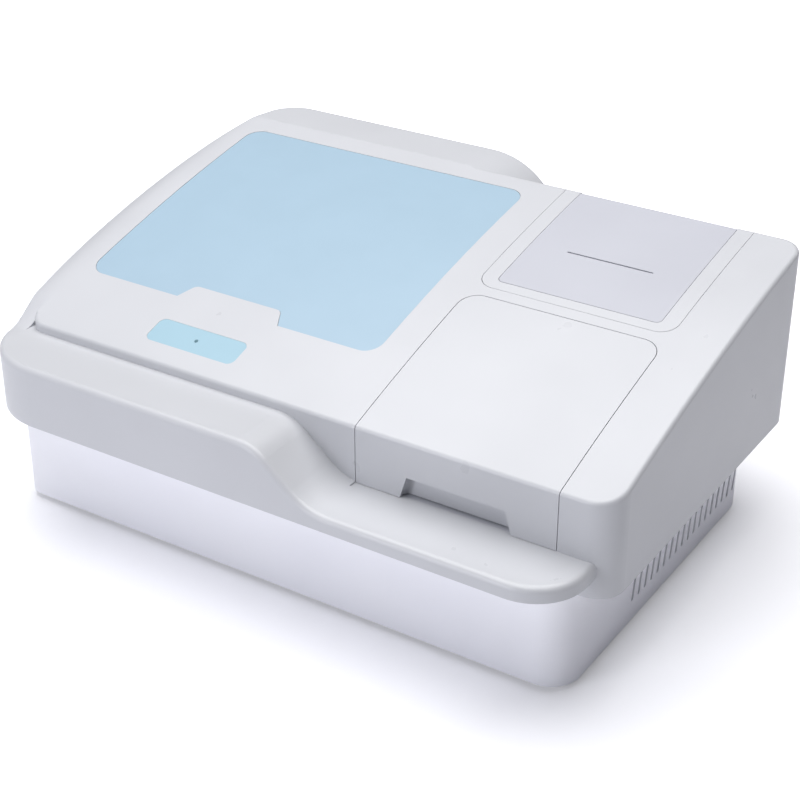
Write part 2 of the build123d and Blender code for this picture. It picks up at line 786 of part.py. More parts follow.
with BuildPart() as plate_lid:
    extrude(lid_plan, amount=body_depth)
    add(deck_block(0, lid_bottom - 1), mode=Mode.INTERSECT)
    with BuildPart(mode=Mode.PRIVATE) as lid_hollow:
        extrude(lid_inner, amount=body_depth)
        add(deck_block(lid_thickness, lid_bottom - 2), mode=Mode.INTERSECT)
    add(lid_hollow.part, mode=Mode.SUBTRACT)
    rib_end = lid_rear - 20
    rib_plan = plan_rectangle(left, right, deck_front + lid_thickness, rib_end, 0, 0, band_bottom)
    with BuildPart(mode=Mode.PRIVATE) as under_ribs:
        add(crown_slab(rib_plan, 9, 90))
    add(under_ribs.part, mode=Mode.SUBTRACT)
    rear_plan = plan_rectangle(left, right, rib_end - 1, lid_rear + 5, 0, 0, band_bottom)
    add(crown_slab(rear_plan, lid_thickness, 90), mode=Mode.SUBTRACT)
    # finger pull: a boss behind the front wall, scooped from the front
    block(
        finger_left - 2.5,
        finger_right + 2.5,
        deck_front + 1,
        deck_front + finger_depth + lid_thickness,
        lid_bottom,
        lid_bottom + finger_rise + 2.5,
    )
    with BuildPart(mode=Mode.PRIVATE) as scoop:
        with BuildSketch(Plane.XZ.offset(-(deck_front - 5))):
            with BuildLine():
                Polyline(
                    (finger_left, lid_bottom - 1),
                    (finger_left + finger_flare, lid_bottom + finger_rise),
                    (finger_right - finger_flare, lid_bottom + finger_rise),
                    (finger_right, lid_bottom - 1),
                    close=True,
                )
            make_face()
        extrude(amount=-(finger_depth + 5))
        rim = scoop.edges().group_by(Axis.Y)[-1].sort_by(Axis.Z)[1:]
        fillet(rim, finger_round)
    add(scoop.part, mode=Mode.SUBTRACT)
    for arm_x in arm_places:
        with BuildSketch(Plane.YZ.offset(arm_x)):
            with Locations((pivot_y, pivot_z)):
                Circle(4)
            with BuildLine():
                CenterArc((pivot_y, pivot_z), arm_outer_radius, 180, 120)
                Line(
                    (pivot_y + arm_outer_radius * 0.5, pivot_z - arm_outer_radius * 0.8660254),
                    (pivot_y + arm_inner_radius * 0.5, pivot_z - arm_inner_radius * 0.8660254),
                )
                CenterArc((pivot_y, pivot_z), arm_inner_radius, 300, -120)
                Line(
                    (pivot_y - arm_inner_radius, pivot_z),
                    (pivot_y - arm_outer_radius, pivot_z),
                )
            make_face()
            with Locations(Location((pivot_y, pivot_z), 300)):
                Rectangle(arm_inner_radius + 3, 6, align=(Align.MIN, Align.CENTER))
            with Locations((pivot_y - (arm_inner_radius + arm_outer_radius) / 2, pivot_z)):
                Rectangle(6, crown_z(lid_rear - 4) - lid_thickness + 1 - pivot_z, align=(Align.CENTER, Align.MIN))
            with Locations((pivot_y, pivot_z)):
                Circle(hinge_pin_radius + running_fit, mode=Mode.SUBTRACT)
        extrude(amount=arm_thickness)
    with BuildSketch(Plane.YZ.offset(lid_left - 1)):
        with Locations((pivot_y, pivot_z)):
            Circle(arm_inner_radius - 0.6)
            with Locations((pivot_y, pivot_z)):
                Rectangle(60, 60, align=(Align.CENTER, Align.MAX), mode=Mode.SUBTRACT)
    extrude(amount=arm_inset + 0.5, mode=Mode.SUBTRACT)
save(plate_lid.part, "plate_lid")

# ---------------------------------------------------------------- printer surround and door
barrel_y = deck_rear - barrel_round - 0.1
barrel_z = crown_z(barrel_y, barrel_round)
door_pin_radius = 1.5
bezel_rear_wall = 3.0

with BuildPart() as printer_bezel:
    bezel_plan = plan_rectangle(
        bezel_left, bezel_right, bezel_front, deck_rear, bezel_corner_radius, 0, bezel_foot
    )
    add(crown_slab(bezel_plan, -1, bezel_thickness))
    door_gap = plan_rectangle(
        door_left - gap,
        door_right + gap,
        door_front - 0.4,
        deck_rear + 1,
        door_corner_radius + gap,
        0,
    )
    extrude(door_gap, amount=body_depth, mode=Mode.SUBTRACT)
    block(
        bezel_left,
        bezel_right,
        deck_rear - bezel_rear_wall,
        deck_rear,
        bezel_foot + gap,
        barrel_z - barrel_round - 0.4,
    )
    for post_left, post_right in ((bezel_left, door_left - gap), (door_right + gap, bezel_right)):
        block(post_left, post_right, deck_rear - 12, deck_rear, bezel_foot + gap, barrel_z)
        with BuildPart(mode=Mode.PRIVATE) as post_top:
            post_plan = plan_rectangle(post_left, post_right, deck_rear - 12, deck_rear)
            add(crown_slab(post_plan, -1, 8))
        add(post_top.part)
    add(deck_block(0, band_bottom), mode=Mode.INTERSECT)
    rod(door_left - 9, barrel_y, barrel_z, door_pin_radius, door_width + 18, "X", Mode.SUBTRACT)
save(printer_bezel.part, "printer_bezel")

with BuildPart() as printer_door:
    door_plan = plan_rectangle(door_left, door_right, door_front, barrel_y, door_corner_radius, 0)
    add(crown_slab(door_plan, 0, door_thickness))
    rod(door_left, barrel_y, barrel_z, barrel_round, door_width, "X")
    with BuildPart(mode=Mode.PRIVATE) as door_ribs:
        for rib_x in (door_left + 3, door_right - 5):
            rib_plan = plan_rectangle(rib_x, rib_x + 2, door_front + 6, barrel_y - 6)
            add(crown_slab(rib_plan, door_thickness - 0.5, 7))
    add(door_ribs.part)
    block(
        bay_x - paper_slot_length / 2,
        bay_x + paper_slot_length / 2,
        slot_y - paper_slot_width / 2,
        slot_y + paper_slot_width / 2,
        band_bottom,
        250,
        Mode.SUBTRACT,
    )
    rod(
        door_left - 1,
        barrel_y,
        barrel_z,
        door_pin_radius + running_fit,
        door_width + 2,
        "X",
        Mode.SUBTRACT,
    )
save(printer_door.part, "printer_door")

with BuildPart() as door_hinge_pin:
    rod(door_left - 8, barrel_y, barrel_z, door_pin_radius, door_width + 16, "X")
save(door_hinge_pin.part, "door_hinge_pin")

# ---------------------------------------------------------------- printer
roller_radius = 5.0
roller_length = 60.0
roller_z = crown_z(slot_y) - 12
paper_radius = 20.0
paper_width = 57.0
paper_y = deck_rear - 33.9
paper_z = 150.0

with BuildPart() as platen_roller:
    rod(bay_x - roller_length / 2, slot_y, roller_z, roller_radius, roller_length, "X")
    rod(bay_x - roller_length / 2 - 6, slot_y, roller_z, 2.0, roller_length + 12, "X")
save(platen_roller.part, "platen_roller")

with BuildPart() as printer_mechanism:
    block(bay_x - 41, bay_x + 41, slot_y - 12, slot_y + 12, 128, roller_z - 7)
    for cheek in (bay_x - 41, bay_x + 34):
        block(cheek, cheek + 7, slot_y - 9, slot_y + 9, roller_z - 8, roller_z + 4)
    rod(bay_x - 37, slot_y, roller_z, 2.0 + running_fit, 74, "X", Mode.SUBTRACT)
    block(bay_x - 30, bay_x + 30, slot_y - 11, slot_y - 6.5, roller_z - 8, roller_z + 2)
    block(bay_x - 31, bay_x + 31, slot_y + 7, slot_y + 10, 132, 160, Mode.SUBTRACT)
save(printer_mechanism.part, "printer_mechanism")

with BuildPart() as paper_bucket:
    block(bay_x - 35, bay_x + 35, paper_y - 24, paper_y + 24, 124, 160)
    rod(bay_x - 33, paper_y, paper_z, 22.5, 66, "X", Mode.SUBTRACT)
    block(bay_x - 33, bay_x + 33, paper_y - 22.5, paper_y + 22.5, paper_z, 170, Mode.SUBTRACT)
    rod(bay_x - 40, paper_y, paper_z, 5.0, 80, "X", Mode.SUBTRACT)
save(paper_bucket.part, "paper_bucket")

with BuildPart() as paper_spindle:
    rod(bay_x - 37, paper_y, paper_z, 5.0, 74, "X")
save(paper_spindle.part, "paper_spindle")

with BuildPart() as paper_roll:
    rod(bay_x - paper_width / 2, paper_y, paper_z, paper_radius, paper_width, "X")
    rod(bay_x - 40, paper_y, paper_z, 5.0 + running_fit, 80, "X", Mode.SUBTRACT)
save(paper_roll.part, "paper_roll")

with BuildPart() as printer_shelf:
    block(bay_x - 46, bay_x + 46, slot_y - 16, paper_y + 26, 121.5, 124)
    block(bay_x - 41, bay_x + 41, slot_y - 12, slot_y + 12, 123.9, 128)
    for leg_x in (bay_x - 46, bay_x + 42):
        for leg_y in (slot_y - 16, paper_y + 18):
            block(leg_x, leg_x + 4, leg_y, leg_y + 8, chassis_top, 122)
save(printer_shelf.part, "printer_shelf")

# ---------------------------------------------------------------- panel, display and label
with BuildPart() as display_panel:
    add(crown_slab(panel_plan(0), panel_recess - panel_film, panel_recess))
save(display_panel.part, "display_panel")

with BuildPart() as lcd_module:
    lcd_plan = plan_rectangle(lcd_left, lcd_right, lcd_front, lcd_rear)
    add(crown_slab(lcd_plan, wall, 9))
    window = plan_rectangle(lcd_left + 3.3, lcd_right - 3.3, lcd_front + 3.3, lcd_rear - 3.3)
    add(crown_slab(window, panel_recess + 0.3, wall))
save(lcd_module.part, "lcd_module")

with BuildPart() as status_label:
    add(crown_slab(label_plan(0), 0.1, label_film + 0.1))
    rod(led_x, led_y, band_bottom, led_radius + 0.1, body_depth, "Z", Mode.SUBTRACT)
save(status_label.part, "status_label")

with BuildPart() as status_led:
    led_top = crown_z(led_y)
    rod(led_x, led_y, led_top - 6, led_radius, 6.1, "Z")
    rod(led_x, led_y, led_top - 7, 1.8, 3.0, "Z")
save(status_led.part, "status_led")

# ---------------------------------------------------------------- plate carrier and its drive
rod_places = (plate_y - rod_spacing / 2, plate_y + rod_spacing / 2)

with BuildPart() as plate_carrier:
    block(carrier_left, carrier_right, carrier_front, carrier_rear, carrier_z, carrier_top)
    fillet(plate_carrier.edges().filter_by(Axis.Z), 5)
    pocket_x = (plate_length + pocket_clearance) / 2
    pocket_y = (plate_width + pocket_clearance) / 2
    block(
        bay_x - pocket_x,
        bay_x + pocket_x,
        plate_y - pocket_y,
        plate_y + pocket_y,
        carrier_z + carrier_floor,
        carrier_top + 1,
        Mode.SUBTRACT,
    )
    block(
        bay_x - pocket_x + 8,
        bay_x + pocket_x - 8,
        plate_y - pocket_y + 6,
        plate_y + pocket_y - 6,
        carrier_z - 1,
        carrier_top + 1,
        Mode.SUBTRACT,
    )
    for boss_y in rod_places:
        for boss_x in (carrier_left + 4, carrier_right - 24):
            block(boss_x, boss_x + 20, boss_y - 7, boss_y + 7, rod_z - 7, carrier_z + 0.5)
        rod(rod_left, boss_y, rod_z, rod_radius + running_fit, body_width, "X", Mode.SUBTRACT)
    block(bay_x - 7, bay_x + 7, carrier_rear - 1, belt_y + belt_width + 1.5, carrier_z, carrier_top)
    block(
        bay_x - 8,
        bay_x + 8,
        belt_y - gap,
        belt_y + belt_width + gap,
        belt_z + pulley_radius - gap,
        belt_z + pulley_radius + belt_thickness + gap,
        Mode.SUBTRACT,
    )
save(plate_carrier.part, "plate_carrier")

with BuildPart() as guide_rods:
    for rod_y in rod_places:
        rod(rod_left, rod_y, rod_z, rod_radius, rod_right - rod_left, "X")
save(guide_rods.part, "guide_rods")

with BuildPart() as rod_end_blocks:
    for end_x in (rod_left, rod_right - 7):
        for rod_y in rod_places:
            block(end_x, end_x + 7, rod_y - 9, rod_y + 9, chassis_top, rod_z + 7)
            rod(end_x - 1, rod_y, rod_z, rod_radius, 9, "X", Mode.SUBTRACT)
save(rod_end_blocks.part, "rod_end_blocks")


def pulley(x, axle_radius, axle_length):
    """Flanged belt pulley with its axis along Y; an axle is added or bored."""
    with BuildPart() as wheel:
        rod(x, belt_y - 1.6, belt_z, pulley_radius - 0.1, belt_width + 3.2, "Y")
        for flange_y in (belt_y - 1.6, belt_y + belt_width + 0.5):
            rod(x, flange_y, belt_z, pulley_radius + 1.6, 1.1, "Y")
        if axle_length:
            rod(x, belt_y - 1.6, belt_z, axle_radius, axle_length, "Y")
        else:
            rod(x, belt_y - 5, belt_z, axle_radius, 20, "Y", Mode.SUBTRACT)
    return wheel.part


motor_y = belt_y + belt_width + 8.0
motor_half = 13.8
motor_length = 32.0
shaft_radius = 2.5
drive_pulley = pulley(drive_pulley_x, shaft_radius, 20.0)
save(drive_pulley, "drive_pulley")
idler_pulley = pulley(idler_pulley_x, shaft_radius + running_fit, 0)
save(idler_pulley, "idler_pulley")

with BuildPart() as drive_belt:
    with BuildSketch(Plane.XZ.offset(-belt_y)):
        with Locations(((drive_pulley_x + idler_pulley_x) / 2, belt_z)):
            span = idler_pulley_x - drive_pulley_x
            SlotCenterToCenter(span, 2 * (pulley_radius + belt_thickness))
            SlotCenterToCenter(span, 2 * pulley_radius, mode=Mode.SUBTRACT)
    extrude(amount=-belt_width)
save(drive_belt.part, "drive_belt")

with BuildPart() as drive_motor:
    block(
        drive_pulley_x - motor_half,
        drive_pulley_x + motor_half,
        motor_y,
        motor_y + motor_length,
        belt_z - motor_half,
        belt_z + motor_half,
    )
    chamfer(drive_motor.edges().filter_by(Axis.Y), 2.5)
    rod(drive_pulley_x, motor_y - 1, belt_z, shaft_radius + running_fit, 12, "Y", Mode.SUBTRACT)
save(drive_motor.part, "drive_motor")

with BuildPart() as motor_bracket:
    block(
        drive_pulley_x - 18,
        drive_pulley_x + 18,
        motor_y - 2,
        motor_y,
        chassis_top,
        belt_z + motor_half,
    )
    block(
        drive_pulley_x - 18,
        drive_pulley_x + 18,
        motor_y - 10,
        motor_y,
        chassis_top,
        chassis_top + 2,
    )
    rod(drive_pulley_x, motor_y - 3, belt_z, 11, 8, "Y", Mode.SUBTRACT)
save(motor_bracket.part, "motor_bracket")

with BuildPart() as idler_bracket:
    block(
        idler_pulley_x - 8,
        idler_pulley_x + 8,
        belt_y + belt_width + 2.5,
        belt_y + belt_width + 5.5,
        chassis_top,
        belt_z + 7,
    )
    block(
        idler_pulley_x - 8,
        idler_pulley_x + 8,
        belt_y + belt_width + 2.5,
        belt_y + belt_width + 18,
        chassis_top,
        chassis_top + 3,
    )
    rod(idler_pulley_x, belt_y - 1.4, belt_z, shaft_radius, belt_width + 5, "Y")
save(idler_bracket.part, "idler_bracket")

# ---------------------------------------------------------------- reading head
head_left = reading_x - 15.5
head_right = reading_x + 15.5
wheel_x = head_left - 24.0
wheel_y = belt_y + belt_width + 49.0
wheel_z = 130.0
light_y = wheel_y - filter_circle
arm_z = (120.0, 138.0)
lens_pitch = 9.0

with BuildPart() as optics_frame:
    block(head_left, head_right, light_y - 11.75, light_y + 8.25, chassis_top, arm_z[1])
    block(head_left, head_right, plate_y - 41, light_y + 8.25, arm_z[0], arm_z[1])
    rod(head_left - 1, light_y, wheel_z, 5.0, 16, "X", Mode.SUBTRACT)
    for place in range(8):
        lens_y = plate_y + (place - 3.5) * lens_pitch
        rod(reading_x, lens_y, arm_z[0] - 1, 2.5, 8, "Z", Mode.SUBTRACT)
save(optics_frame.part, "optics_frame")

with BuildPart() as reading_lenses:
    for place in range(8):
        lens_y = plate_y + (place - 3.5) * lens_pitch
        rod(reading_x, lens_y, arm_z[0] + 0.5, 2.5, 3.5, "Z")
save(reading_lenses.part, "reading_lenses")

with BuildPart() as detector_block:
    block(reading_x - 8, reading_x + 8, plate_y - 36, plate_y + 36, chassis_top, 95)
    for place in range(8):
        lens_y = plate_y + (place - 3.5) * lens_pitch
        rod(reading_x, lens_y, 92, 2.2, 4, "Z", Mode.SUBTRACT)
save(detector_block.part, "detector_block")

with BuildPart() as filter_wheel:
    rod(wheel_x, wheel_y, wheel_z, filter_wheel_radius, filter_wheel_thickness, "X")
    with BuildPart(mode=Mode.PRIVATE) as filter_holes:
        with Locations(Location((wheel_x - 1, wheel_y, wheel_z), (0, 90, 0))):
            with PolarLocations(filter_circle, filter_count):
                Cylinder(5.5, 20)
    add(filter_holes.part, mode=Mode.SUBTRACT)
    rod(wheel_x - 3, wheel_y, wheel_z, 8.0, filter_wheel_thickness + 6, "X")
    rod(wheel_x, wheel_y, wheel_z, 2.0, 16, "X")
save(filter_wheel.part, "filter_wheel")

with BuildPart() as filter_glasses:
    with Locations(Location((wheel_x + 2.5, wheel_y, wheel_z), (0, 90, 0))):
        with PolarLocations(filter_circle, filter_count):
            Cylinder(5.5, 3)
save(filter_glasses.part, "filter_glasses")

with BuildPart() as filter_motor:
    rod(wheel_x + 10, wheel_y, wheel_z, 14.0, 30, "X")
    rod(wheel_x + 8, wheel_y, wheel_z, 2.0 + running_fit, 10, "X", Mode.SUBTRACT)
    block(wheel_x + 18, wheel_x + 22, wheel_y - 12, wheel_y + 12, chassis_top, wheel_z - 8)
save(filter_motor.part, "filter_motor")

lamp_x = (wheel_x - 71.0, wheel_x - 11.0)
with BuildPart() as lamp_housing:
    block(lamp_x[0], lamp_x[1], light_y - 14, light_y + 16, 108, 156)
    block(lamp_x[0] + 3, lamp_x[1] - 3, light_y - 11, light_y + 13, 111, 153, Mode.SUBTRACT)
    rod(lamp_x[1] - 4, light_y, wheel_z, 6.0, 6, "X", Mode.SUBTRACT)
    for slot in range(5):
        slot_x = lamp_x[0] + 10 + slot * 9
        block(slot_x, slot_x + 3, light_y - 10, light_y + 10, 150, 160, Mode.SUBTRACT)
    for foot_x in (lamp_x[0], lamp_x[1] - 8):
        block(foot_x, foot_x + 8, light_y - 14, light_y - 6, chassis_top, 108.5)
        block(foot_x, foot_x + 8, light_y + 8, light_y + 16, chassis_top, 108.5)
save(lamp_housing.part, "lamp_housing")

with BuildPart() as lamp_bulb:
    rod(lamp_x[0] + 3, light_y, wheel_z, 6.0, 14, "X")
    rod(lamp_x[0] + 16, light_y, wheel_z, 4.5, 16, "X")
    chamfer(lamp_bulb.edges().group_by(Axis.X)[-1], 3.0)
save(lamp_bulb.part, "lamp_bulb")

with BuildPart() as condenser_lens:
    rod(lamp_x[1] - 3, light_y, wheel_z, 6.0, 3.5, "X")
    chamfer(condenser_lens.edges().group_by(Axis.X)[-1], 0.8)
save(condenser_lens.part, "condenser_lens")

# ---------------------------------------------------------------- electronics in the base
board_z = 16.0
board_left = base_middle - 62.5
board_right = base_middle + 157.5
board_front = base_front + 61.85
board_rear = base_rear - 45.75

with BuildPart() as main_board:
    block(board_left, board_right, board_front, board_rear, board_z, board_z + 1.6)
    for post_x in (board_left + 5, board_right - 5):
        for post_y in (board_front + 5, board_rear - 5):
            rod(post_x, post_y, floor_z, 4, board_z - floor_z, "Z")
    for chip_x, chip_y, chip_size, chip_height in ((40, 50, 30, 3.4), (100, 35, 22, 2.9)):
        chip_left, chip_front = board_left + chip_x, board_front + chip_y
        block(
            chip_left,
            chip_left + chip_size,
            chip_front,
            chip_front + chip_size,
            board_z + 1.6,
            board_z + 1.6 + chip_height,
        )
    block(
        board_right - 70,
        board_right - 10,
        board_front + 10,
        board_front + 20,
        board_z + 1.6,
        board_z + 12,
    )
    for part_x in (15.0, 30.0, 90.0, 110.0):
        rod(board_left + part_x, board_rear - 30, board_z + 1.6, 5, 16, "Z")
save(main_board.part, "main_board")

supply_left = base_middle - 177.5
supply_right = supply_left + 95.0
supply_front = base_front + 51.85
supply_rear = supply_front + 120.0

with BuildPart() as power_supply:
    block(supply_left, supply_right, supply_front, supply_rear, floor_z, floor_z + 1.5)
    block(supply_left, supply_left + 1.5, supply_front, supply_rear, floor_z, 50)
    block(supply_left + 3, supply_right - 4, supply_front + 2, supply_rear - 2, 12, 13.6)
    for post_x in (supply_left + 7, supply_right - 8):
        for post_y in (supply_front + 6, supply_rear - 6):
            rod(post_x, post_y, floor_z + 1, 3, 5, "Z")
    block(
        supply_left + 25,
        supply_left + 59,
        supply_front + 40,
        supply_front + 74,
        13.5,
        44,
    )
    for part_y in (supply_front + 18, supply_rear - 26):
        rod(supply_left + 40, part_y, 13.5, 9, 26, "Z")
    block(
        supply_right - 24,
        supply_right - 18,
        supply_front + 20,
        supply_rear - 20,
        13.5,
        42,
    )
save(power_supply.part, "power_supply")

fan_y = base_rear - base_wall - 20.0
with BuildPart() as fan_frame:
    half = fan_size / 2
    block(fan_x - half, fan_x + half, fan_y, fan_y + 20, fan_z - half, fan_z + half)
    fillet(fan_frame.edges().filter_by(Axis.Y), 4)
    rod(fan_x, fan_y - 1, fan_z, 28, 22, "Y", Mode.SUBTRACT)
    rod(fan_x, fan_y, fan_z, 11, 3, "Y")
    for turn in range(4):
        with Locations(Location((fan_x, fan_y + 1.5, fan_z), (0, 45 + 90 * turn, 0))):
            with Locations((19, 0, 0)):
                Box(20, 3, 3)
    rod(fan_x, fan_y, fan_z, 1.5, 12, "Y")
save(fan_frame.part, "fan_frame")

with BuildPart() as fan_rotor:
    rod(fan_x, fan_y + 4, fan_z, 12, 13, "Y")
    for turn in range(7):
        blade = Location((fan_x, fan_y + 10.5, fan_z), (0, 360 / 7 * turn, 0))
        add(blade * Pos(18.5, 0, 0) * Rot(35, 0, 0) * Box(16, 1.4, 13, mode=Mode.PRIVATE))
    rod(fan_x, fan_y + 3, fan_z, 1.5 + running_fit, 9.5, "Y", Mode.SUBTRACT)
save(fan_rotor.part, "fan_rotor")

# ---------------------------------------------------------------- rear panel
panel_y = base_rear - base_wall
inlet_x = rear_opening[0] + 28.0
switch_x = inlet_x + 37.0
serial_x = switch_x + 37.0
usb_x = serial_x + 36.0
port_z = 37.0
ports = {
    inlet_x: (27.0, 20.0),
    switch_x: (19.0, 13.0),
    serial_x: (19.4, 10.4),
    usb_x: (12.4, 11.2),
}
with BuildPart() as rear_panel:
    block(
        rear_opening[0] - 5,
        rear_opening[1] + 5,
        panel_y - 2,
        panel_y,
        rear_opening[2] - 5,
        rear_opening[3] + 5,
    )
    for port_x, (port_width, port_height) in ports.items():
        block(
            port_x - port_width / 2,
            port_x + port_width / 2,
            panel_y - 3,
            panel_y + 1,
            port_z - port_height / 2,
            port_z + port_height / 2,
            Mode.SUBTRACT,
        )
save(rear_panel.part, "rear_panel")

with BuildPart() as mains_inlet:
    block(inlet_x - 13.5, inlet_x + 13.5, panel_y - 20, panel_y, port_z - 10, port_z + 10)
    block(inlet_x - 16, inlet_x + 16, panel_y, panel_y + 2, port_z - 12, port_z + 12)
    block(inlet_x - 12, inlet_x + 12, panel_y - 17, panel_y + 3, port_z - 8.5, port_z + 8.5, Mode.SUBTRACT)
    for blade_x, blade_z in ((-7.0, -2.0), (0.0, 2.0), (7.0, -2.0)):
        block(
            inlet_x + blade_x - 1,
            inlet_x + blade_x + 1,
            panel_y - 18,
            panel_y - 3,
            port_z + blade_z - 2,
            port_z + blade_z + 2,
        )
save(mains_inlet.part, "mains_inlet")

rocker_y = panel_y - 2.0
with BuildPart() as switch_housing:
    block(switch_x - 9.5, switch_x + 9.5, panel_y - 14, panel_y, port_z - 6.5, port_z + 6.5)
    block(switch_x - 11, switch_x + 11, panel_y, panel_y + 2, port_z - 8, port_z + 8)
    block(switch_x - 8, switch_x + 8, panel_y - 12, panel_y + 3, port_z - 5.4, port_z + 5.4, Mode.SUBTRACT)
    rod(switch_x, rocker_y, port_z - 5.4, 1.2, 10.8, "Z")
save(switch_housing.part, "switch_housing")

with BuildPart() as power_rocker:
    with BuildSketch(Plane.XY.offset(port_z - 5.0)):
        with BuildLine():
            Polyline(
                (switch_x - 7.2, rocker_y - 3),
                (switch_x + 7.2, rocker_y - 3),
                (switch_x + 7.2, rocker_y + 2.4),
                (switch_x, rocker_y + 3.6),
                (switch_x - 7.2, rocker_y + 2.4),
                close=True,
            )
        make_face()
    extrude(amount=10.0)
    rod(switch_x, rocker_y, port_z - 6, 1.2 + running_fit, 12, "Z", Mode.SUBTRACT)
save(power_rocker.part, "power_rocker")

with BuildPart() as serial_port:
    block(serial_x - 9.5, serial_x + 9.5, panel_y - 10, panel_y + 2, port_z - 5, port_z + 5)
    block(serial_x - 8.5, serial_x + 8.5, panel_y - 4, panel_y + 3, port_z - 4, port_z + 4, Mode.SUBTRACT)
    block(serial_x - 15, serial_x + 15, panel_y - 3.5, panel_y - 2, port_z - 6, port_z + 6)
    block(serial_x - 8.5, serial_x + 8.5, panel_y - 4, panel_y + 3, port_z - 4, port_z + 4, Mode.SUBTRACT)
    for pin in range(5):
        rod(serial_x - 5.5 + 2.75 * pin, panel_y - 5, port_z + 1.4, 0.5, 5, "Y")
    for pin in range(4):
        rod(serial_x - 4.1 + 2.75 * pin, panel_y - 5, port_z - 1.4, 0.5, 5, "Y")
save(serial_port.part, "serial_port")

with BuildPart() as usb_port:
    block(usb_x - 6, usb_x + 6, panel_y - 14, panel_y + 0.5, port_z - 5.4, port_z + 5.4)
    block(usb_x - 4.3, usb_x + 4.3, panel_y - 8, panel_y + 2, port_z - 4, port_z + 4, Mode.SUBTRACT)
    block(usb_x - 2.8, usb_x + 2.8, panel_y - 9, panel_y - 1, port_z - 1.6, port_z + 1.6)
save(usb_port.part, "usb_port")
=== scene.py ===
# %% [markdown]
# Bench-top microplate reader, dressed for a studio view. The casing, the lids, the panel and the
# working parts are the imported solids. This script gives each of them its finish, adds what is too
# small or too soft-edged for the solids, and sets the floor, the light and the camera.

import json
from math import cos, pi, radians, sin, tau

import bmesh
import bpy
from mathutils.noise import noise as noise_at
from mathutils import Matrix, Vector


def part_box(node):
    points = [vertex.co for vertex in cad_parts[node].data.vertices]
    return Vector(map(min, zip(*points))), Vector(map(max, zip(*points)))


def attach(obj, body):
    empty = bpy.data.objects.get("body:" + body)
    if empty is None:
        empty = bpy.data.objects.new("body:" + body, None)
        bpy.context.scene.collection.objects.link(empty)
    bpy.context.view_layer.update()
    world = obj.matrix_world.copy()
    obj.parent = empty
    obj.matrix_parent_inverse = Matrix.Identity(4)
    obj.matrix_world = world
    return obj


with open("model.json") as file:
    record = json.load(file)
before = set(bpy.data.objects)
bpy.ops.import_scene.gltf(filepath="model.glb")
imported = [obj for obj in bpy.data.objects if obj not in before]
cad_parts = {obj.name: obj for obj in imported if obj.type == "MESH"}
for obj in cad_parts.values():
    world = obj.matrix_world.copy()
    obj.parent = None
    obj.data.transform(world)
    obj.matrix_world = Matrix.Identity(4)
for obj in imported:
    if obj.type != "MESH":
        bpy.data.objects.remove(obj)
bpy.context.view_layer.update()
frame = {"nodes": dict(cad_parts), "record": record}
print("frame nodes:", len(frame["nodes"]))


# %% [markdown]
# Small helpers. Colours are written as the sRGB codes a designer would quote, and every node of a
# material is added through one function, so that a finish reads as a short list of steps.

# %% Helpers
def colour(code):
    """Linear colour of an sRGB hex code."""
    channels = [int(code[i : i + 2], 16) / 255 for i in (0, 2, 4)]
    linear = [c / 12.92 if c <= 0.04045 else ((c + 0.055) / 1.055) ** 2.4 for c in channels]
    return (*linear, 1.0)


def add_node(tree, kind, links=None, **values):
    """Adds a node, sets its properties and inputs by name, and links its inputs."""
    node = tree.nodes.new(kind)
    for name, value in values.items():
        if hasattr(node, name):
            setattr(node, name, value)
        else:
            node.inputs[name.replace("_", " ")].default_value = value
    for name, socket in (links or {}).items():
        target = node.inputs[name] if isinstance(name, int) else node.inputs[name.replace("_", " ")]
        tree.links.new(socket, target)
    return node


def new_material(name, base, roughness, **settings):
    """A Principled material with its uniform values set on the shader's own sockets."""
    material = bpy.data.materials.new(name)
    material.use_nodes = True
    tree = material.node_tree
    shader = tree.nodes["Principled BSDF"]
    shader.inputs["Base Color"].default_value = colour(base)
    shader.inputs["Roughness"].default_value = roughness
    for socket, value in settings.items():
        shader.inputs[socket.replace("_", " ")].default_value = value
    return material, tree, shader


def object_coordinates(tree, stretch=(1, 1, 1)):
    """Object coordinates, in metres, optionally stretched along an axis."""
    place = add_node(tree, "ShaderNodeTexCoord")
    return add_node(tree, "ShaderNodeMapping", {"Vector": place.outputs["Object"]}, Scale=stretch)


def noise(tree, vector, size_mm, detail=2.0):
    """Noise whose features measure about size_mm."""
    links = {"Vector": vector.outputs[0]}
    scale = 1000 / size_mm
    return add_node(tree, "ShaderNodeTexNoise", links, Scale=scale, Detail=detail, Roughness=0.5)


def vary_colour(tree, shader, base, other, factor, low=0.35, high=0.65):
    """Drifts the base colour between two near shades along a 0 to 1 factor."""
    blend = add_node(tree, "ShaderNodeMapRange", {"Value": factor}, From_Min=low, From_Max=high)
    mix = add_node(tree, "ShaderNodeMix", {0: blend.outputs[0]}, data_type="RGBA")
    mix.inputs["A"].default_value = colour(base)
    mix.inputs["B"].default_value = colour(other)
    tree.links.new(mix.outputs["Result"], shader.inputs["Base Color"])


def add_bump(tree, shader, height, depth_mm, strength):
    """Bump of a given real depth."""
    links = {"Height": height}
    bump = add_node(tree, "ShaderNodeBump", links, Strength=strength, Distance=depth_mm / 1000)
    tree.links.new(bump.outputs["Normal"], shader.inputs["Normal"])


def vary_roughness(tree, shader, factor, low, high):
    """Roughness that wanders between two values."""
    spread = add_node(tree, "ShaderNodeMapRange", {"Value": factor}, To_Min=low, To_Max=high)
    tree.links.new(spread.outputs[0], shader.inputs["Roughness"])


# %% [markdown]
# The casing is moulded in a light grey plastic with a fine spark-eroded texture. The texture is a
# noise of 0.35 mm grains, too fine to read as dots at arm's length but enough to break up the
# sheen. A slow drift in the shade stands for the slight unevenness of a large moulding.


